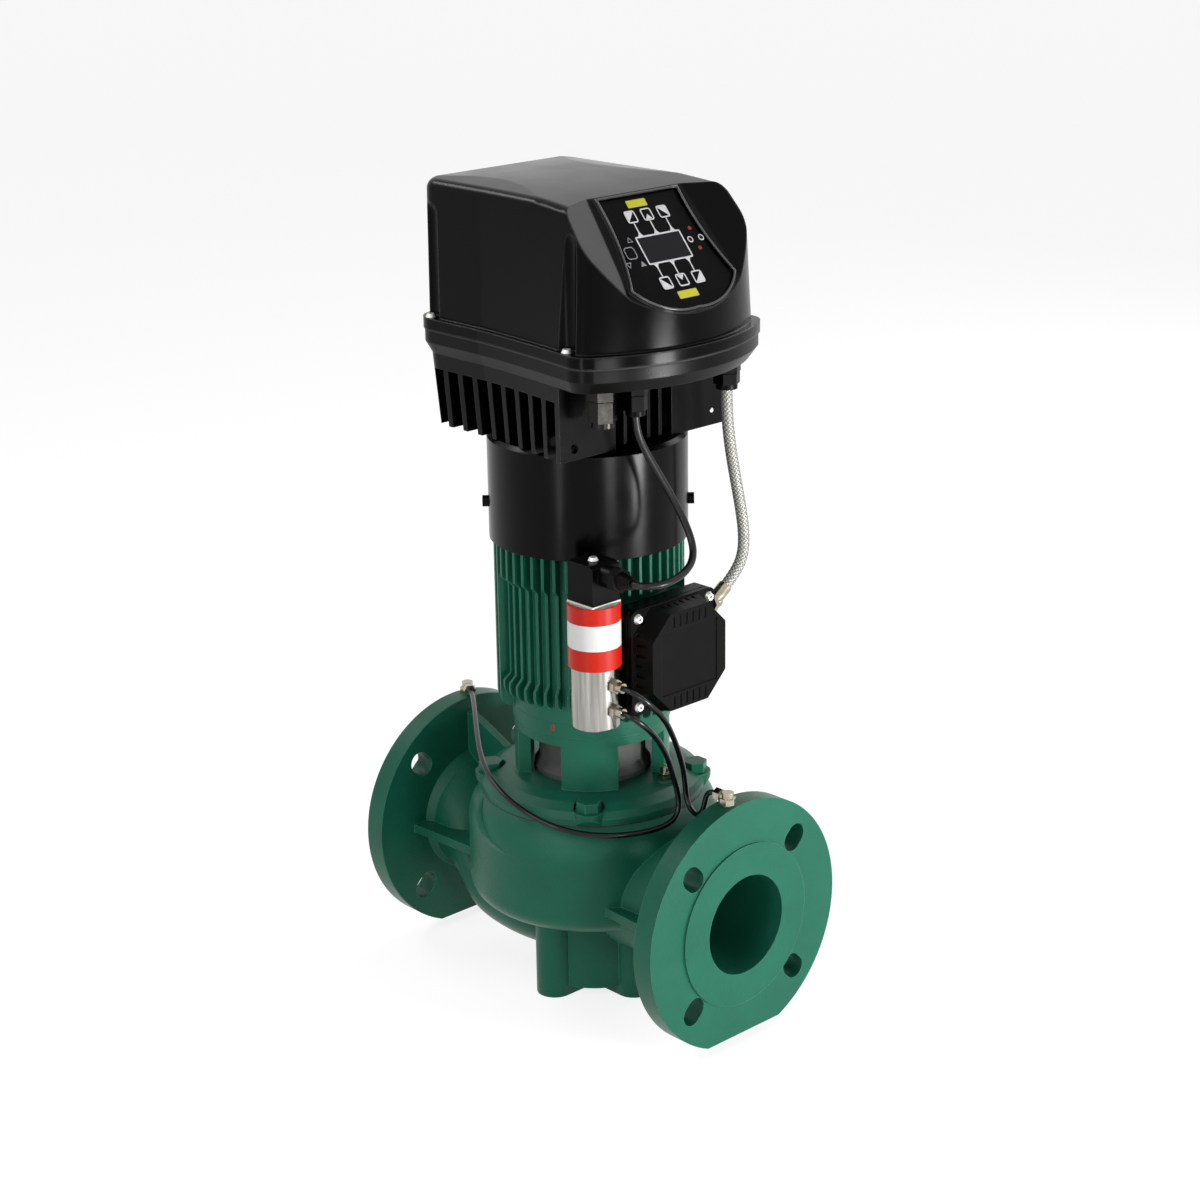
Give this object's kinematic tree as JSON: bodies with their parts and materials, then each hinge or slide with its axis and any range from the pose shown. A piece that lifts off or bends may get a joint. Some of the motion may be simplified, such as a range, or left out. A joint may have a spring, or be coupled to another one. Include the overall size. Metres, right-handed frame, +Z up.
{
  "type": "in-line circulation pump",
  "caption": "Upright in-line pump: cast volute with opposed flanged ports, lantern bracket, finned motor, fan cover, and a speed controller with display and pressure sensor on top.",
  "frame": {"origin": "centre of the foot face, on the motor axis, at the surface that the pump stands on", "axes": "+Z up along the shaft, +X out of the discharge port, +Y away from the sensor"},
  "size_m": [0.34, 0.201, 0.6522],
  "materials": {
    "green_enamel": "semi-gloss enamel over castings",
    "grey_iron": "machined grey iron",
    "zinc_steel": "bright zinc-plated steel",
    "machine_steel": "turned steel",
    "stainless": "brushed stainless steel",
    "copper_winding": "enamelled copper wire",
    "nickel_brass": "nickel-plated brass",
    "seal_face": "lapped carbon and carbide",
    "gasket": "soft gasket sheet",
    "black_sheet": "semi-gloss black paint on sheet steel",
    "black_casting": "black powder coat on cast aluminium",
    "gloss_black": "polished black moulding",
    "matt_black": "fine-textured black moulding",
    "fan_plastic": "moulded fan",
    "panel_film": "printed polyester film",
    "display_glass": "clear window over a grey liquid-crystal cell",
    "key_film": "printed keys",
    "light_red": "tinted light guides",
    "board_green": "solder-masked circuit board",
    "sleeve_red": "smooth red moulding",
    "label_white": "plain white film",
    "black_tube": "smooth black pressure tube",
    "cable_grey": "dark grey cable sheath",
    "braid_silver": "woven screen over a flexible conduit"
  },
  "bodies": {
    "pump_body": {"volute_casing": "green_enamel", "lantern_bracket": "green_enamel", "drive_end_shield": "green_enamel", "motor_frame": "green_enamel", "upper_end_shield": "green_enamel", "casing_gasket": "gasket", "lid_gasket": "gasket", "terminal_box_gasket": "gasket", "connector_gasket": "gasket", "casing_bolts": "zinc_steel", "shield_screws": "zinc_steel", "fan_cover_screws": "zinc_steel", "cover_screws": "zinc_steel", "seal_housing": "grey_iron", "seal_seat": "seal_face", "lower_bearing": "machine_steel", "upper_bearing": "machine_steel", "preload_spring": "machine_steel", "stator_core": "machine_steel", "sensor_bracket": "machine_steel", "stator_windings": "copper_winding", "fan_cover": "black_sheet", "heat_sink": "black_casting", "inverter_lid": "gloss_black", "control_panel": "panel_film", "display_window": "display_glass", "indicator_lights": "light_red", "control_board": "board_green", "blanking_gland": "matt_black", "sensor_cable_gland": "matt_black", "conduit_gland": "matt_black", "terminal_box_base": "matt_black", "terminal_box_lid": "matt_black", "terminal_block": "matt_black", "din_connector": "matt_black", "connector_gland": "matt_black", "sensor_body": "stainless", "sensor_sleeve": "sleeve_red", "sensor_label": "label_white", "tube_fittings": "nickel_brass", "vent_valve_body": "nickel_brass", "conduit_connector": "nickel_brass", "discharge_capillary": "black_tube", "suction_capillary": "black_tube", "sensor_cable": "cable_grey", "motor_conduit": "braid_silver"},
    "rotor": {"pump_shaft": "machine_steel", "impeller": "grey_iron", "impeller_nut": "machine_steel", "seal_ring": "seal_face", "rotor_core": "machine_steel", "cooling_fan": "fan_plastic"},
    "vent_screw": {"vent_screw": "nickel_brass"},
    "key_1": {"membrane_key_1": "key_film"},
    "key_2": {"membrane_key_2": "key_film"},
    "key_3": {"membrane_key_3": "key_film"},
    "key_4": {"membrane_key_4": "key_film"},
    "key_5": {"membrane_key_5": "key_film"},
    "key_6": {"membrane_key_6": "key_film"},
    "key_7": {"membrane_key_7": "key_film"}
  },
  "joints": [
    {"name": "rotor_spin", "type": "hinge", "parent": "pump_body", "child": "rotor", "pos_m": [0, 0, 0.3], "axis": [0, 0, 1], "continuous": true},
    {"name": "vent_screw_turn", "type": "hinge", "parent": "pump_body", "child": "vent_screw", "pos_m": [0.066, 0.017, 0.19], "axis": [0, 0, 1], "range_deg": [0, 360]},
    {"name": "key_1_press", "type": "slide", "parent": "pump_body", "child": "key_1", "axis": [-0.766, 0, -0.6428], "range_m": [0, 0.0005], "stiffness_N_per_m": 300},
    {"name": "key_2_press", "type": "slide", "parent": "pump_body", "child": "key_2", "axis": [-0.766, 0, -0.6428], "range_m": [0, 0.0005], "stiffness_N_per_m": 300},
    {"name": "key_3_press", "type": "slide", "parent": "pump_body", "child": "key_3", "axis": [-0.766, 0, -0.6428], "range_m": [0, 0.0005], "stiffness_N_per_m": 300},
    {"name": "key_4_press", "type": "slide", "parent": "pump_body", "child": "key_4", "axis": [-0.766, 0, -0.6428], "range_m": [0, 0.0005], "stiffness_N_per_m": 300},
    {"name": "key_5_press", "type": "slide", "parent": "pump_body", "child": "key_5", "axis": [-0.766, 0, -0.6428], "range_m": [0, 0.0005], "stiffness_N_per_m": 300},
    {"name": "key_6_press", "type": "slide", "parent": "pump_body", "child": "key_6", "axis": [-0.766, 0, -0.6428], "range_m": [0, 0.0005], "stiffness_N_per_m": 300},
    {"name": "key_7_press", "type": "slide", "parent": "pump_body", "child": "key_7", "axis": [-0.766, 0, -0.6428], "range_m": [0, 0.0005], "stiffness_N_per_m": 300}
  ]
}
